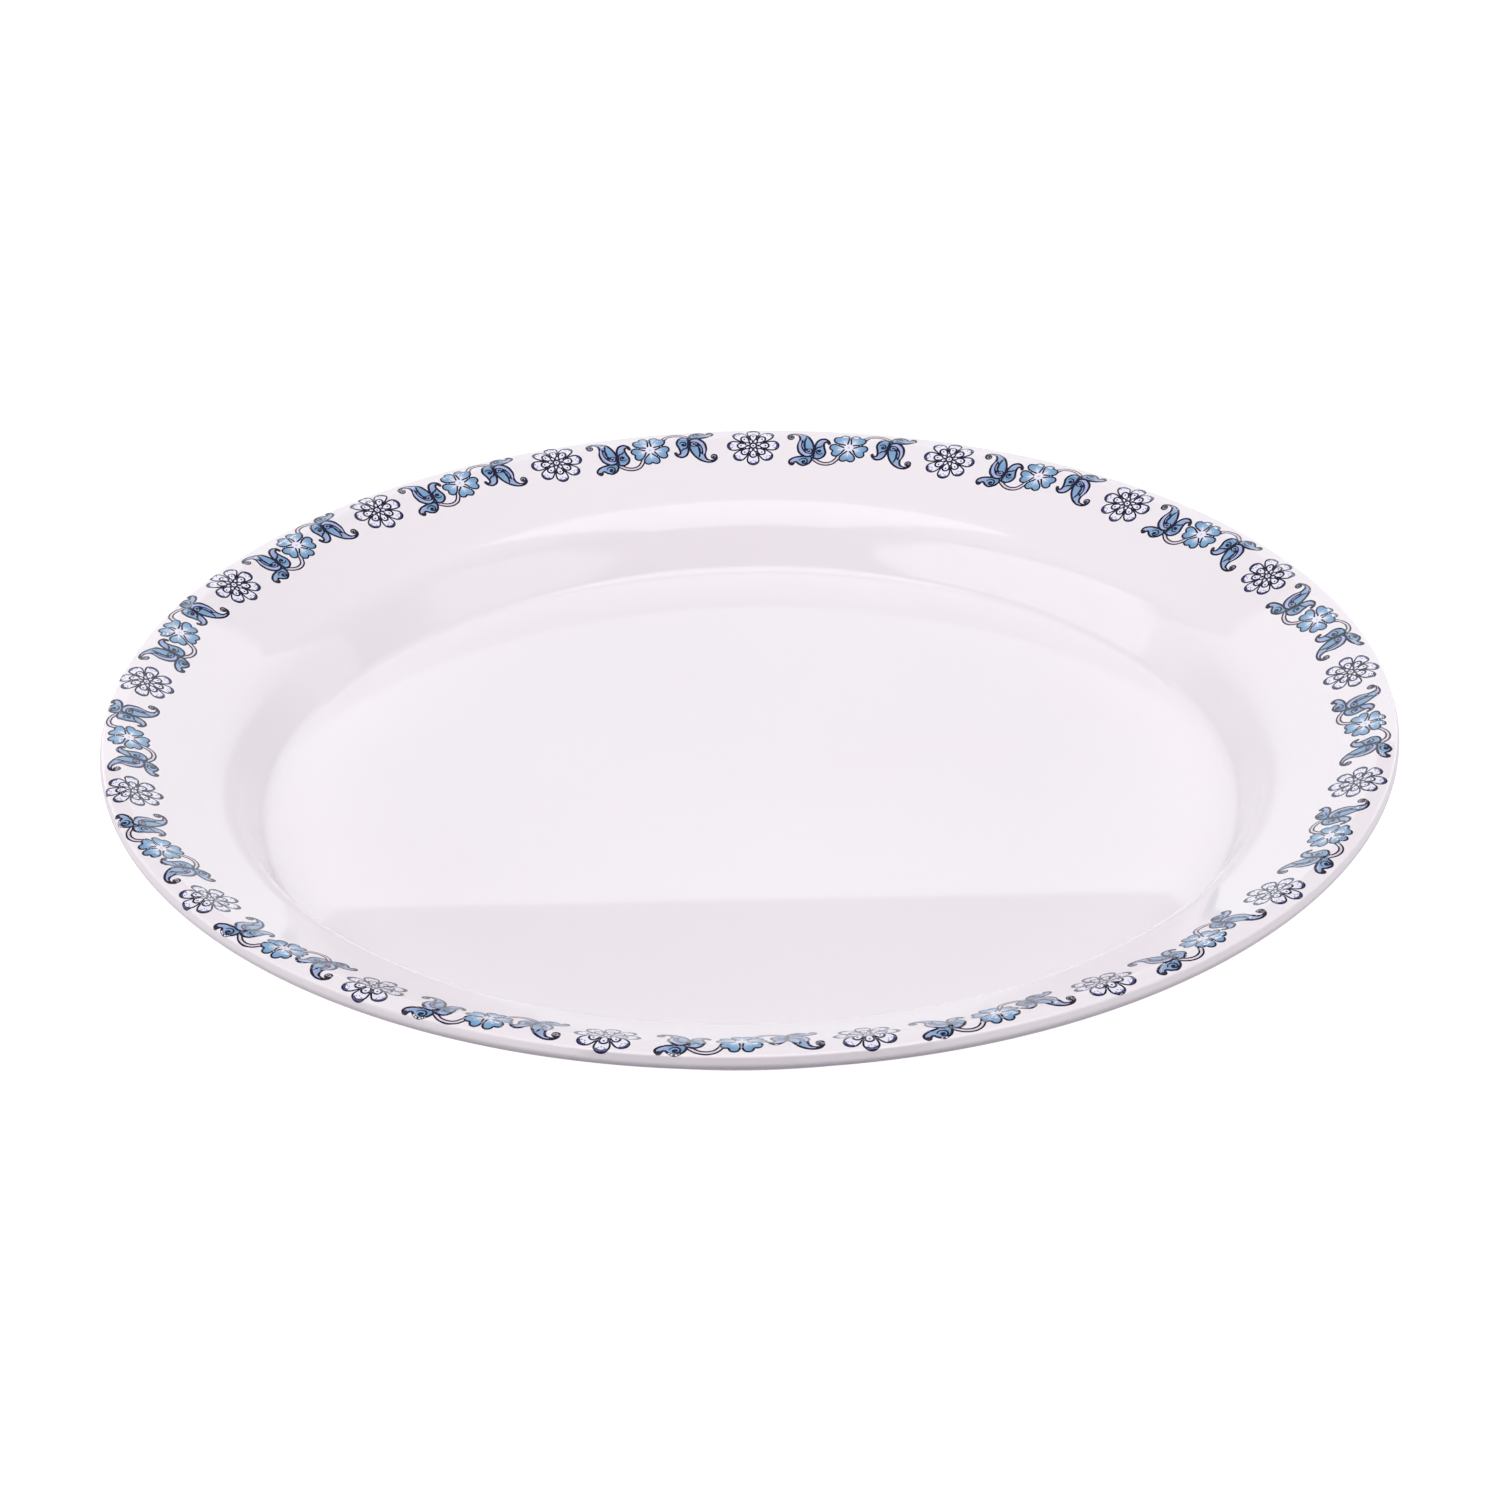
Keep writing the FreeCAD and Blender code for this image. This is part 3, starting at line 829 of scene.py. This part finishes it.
CARD = (3.0, 0.16)        # the white card standing just behind the platter
CARD_BACK = 0.2           # its distance behind the platter's axis
CARD_BRIGHTNESS = 1.0
CARD_COLOUR = (0.93, 0.98, 1.0)
PANEL = (1.6, 2.0)        # what the glaze mirrors from above the camera
PANEL_PLACE = (0, -0.85, 1.4)
PANEL_BRIGHTNESS = 2.1
PANEL_COLOUR = (0.93, 1.0, 1.0)
KEY = (8.0, 3.2)          # the large soft light overhead
KEY_PLACE = (0, -1.35, 2.8)
KEY_BRIGHTNESS = 1.92
SIDE = (0.8, 0.24)        # low lights beside the platter, for its side walls
SIDE_AWAY = 0.8           # their distance to each side of the platter's axis
SIDE_BACK = 0.15
LEFT_BRIGHTNESS = 3.6
RIGHT_BRIGHTNESS = 2.4
SOFT_WHITE = (1, 0.985, 0.99)


def area_light(name, place, facing, size, brightness, colour):
    """A lit rectangle of the given brightness, out of the camera's sight."""
    data = bpy.data.lights.new(name, "AREA")
    data.shape = "RECTANGLE"
    data.size, data.size_y = size
    data.energy = brightness * math.pi * size[0] * size[1]
    data.color = colour
    light = bpy.data.objects.new(name, data)
    bpy.context.scene.collection.objects.link(light)
    light.location = place
    light.rotation_euler = Vector(facing).to_track_quat("-Z", "Y").to_euler()
    light.visible_camera = False
    return light


def build_lights():
    """Soft lights for the shading, and a card and a panel only seen mirrored in the glaze."""
    down = (0, 0, -1)
    card_place = (0, CARD_BACK, CARD[1] / 2)
    card = area_light("card", card_place, (0, -1, 0), CARD, CARD_BRIGHTNESS, CARD_COLOUR)
    panel = area_light("panel", PANEL_PLACE, down, PANEL, PANEL_BRIGHTNESS, PANEL_COLOUR)
    key = area_light("key", KEY_PLACE, down, KEY, KEY_BRIGHTNESS, SOFT_WHITE)
    card.visible_diffuse = False
    panel.visible_diffuse = False
    key.visible_glossy = False
    for name, side, brightness in (("left", -1, LEFT_BRIGHTNESS), ("right", 1, RIGHT_BRIGHTNESS)):
        place = (side * SIDE_AWAY, SIDE_BACK, SIDE[1] / 2)
        light = area_light(name, place, (-side, 0, 0), SIDE, brightness, SOFT_WHITE)
        light.visible_glossy = False


VIEW_ELEVATION = math.radians(28.62)
VIEW_DISTANCE = 942.2     # from the middle of the print ring, millimetres
PRINT_LEVEL = 30.75       # height the camera looks at, about the print ring's, millimetres
VIEW_ROLL = math.radians(-1.15)
LENS = 95.5               # focal length for a 36 mm sensor
SENSOR = 36.0
VIEW_REACH = 50.0         # how far the camera sees
SHIFT = (0.0026, -0.031)  # sideways and upward lens shift


def build_camera():
    data = bpy.data.cameras.new("camera")
    data.lens = LENS
    data.sensor_width = SENSOR
    data.shift_x, data.shift_y = SHIFT
    data.clip_end = VIEW_REACH
    camera = bpy.data.objects.new("camera", data)
    bpy.context.scene.collection.objects.link(camera)
    bpy.context.scene.camera = camera
    target = Vector((PRINT_SHIFT.x, PRINT_SHIFT.y, PRINT_LEVEL)) * MM
    back = Vector((0, -math.cos(VIEW_ELEVATION), math.sin(VIEW_ELEVATION)))
    camera.location = target + back * VIEW_DISTANCE * MM
    aim = (-back).to_track_quat("-Z", "Y").to_matrix().to_4x4()
    camera.rotation_euler = (aim @ Matrix.Rotation(VIEW_ROLL, 4, "Z")).to_euler()


build_floor()
build_world()
build_lights()
build_camera()
bpy.context.scene.view_settings.view_transform = "Standard"
